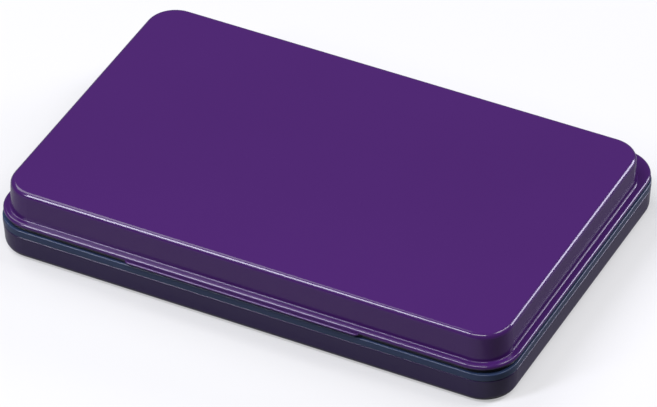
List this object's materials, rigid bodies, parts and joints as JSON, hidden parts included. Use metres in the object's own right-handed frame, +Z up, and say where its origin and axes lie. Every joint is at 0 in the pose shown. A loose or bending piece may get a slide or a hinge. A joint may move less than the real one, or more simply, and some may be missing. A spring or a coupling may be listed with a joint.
{
  "type": "ink pad",
  "caption": "Slim rectangular office ink pad: hinged pressed steel case with a moulded tray and a cloth-covered felt pad inside.",
  "frame": {"origin": "centre of the flat underside of the base, on the surface that the pad rests on", "axes": "+X along the case's length, +Y from the front with its finger lip to the hinge at the back, +Z up"},
  "size_m": [0.127, 0.0877, 0.0175],
  "materials": {
    "lid_paint": "satin enamel",
    "base_paint": "satin enamel",
    "tray_plastic": "moulded, fine grain",
    "frame_plastic": "moulded, fine grain",
    "liner_plastic": "moulded, fine grain",
    "cloth": "plain weave soaked with ink",
    "felt": "pressed felt soaked with ink",
    "sponge": "open-cell sponge soaked with ink",
    "pin_steel": "drawn wire"
  },
  "bodies": {
    "base": {"base_shell": "base_paint", "pad_tray": "tray_plastic", "ink_felt": "felt", "sponge_layer": "sponge", "pad_cloth": "cloth", "pad_frame": "frame_plastic", "hinge_pin_left": "pin_steel", "hinge_pin_right": "pin_steel"},
    "lid": {"lid_shell": "lid_paint", "lid_liner": "liner_plastic"}
  },
  "joints": [
    {"name": "lid_hinge", "type": "hinge", "parent": "base", "child": "lid", "pos_m": [0, 0.04365, 0.00875], "axis": [-1, 0, 0], "range_deg": [0, 180]}
  ]
}
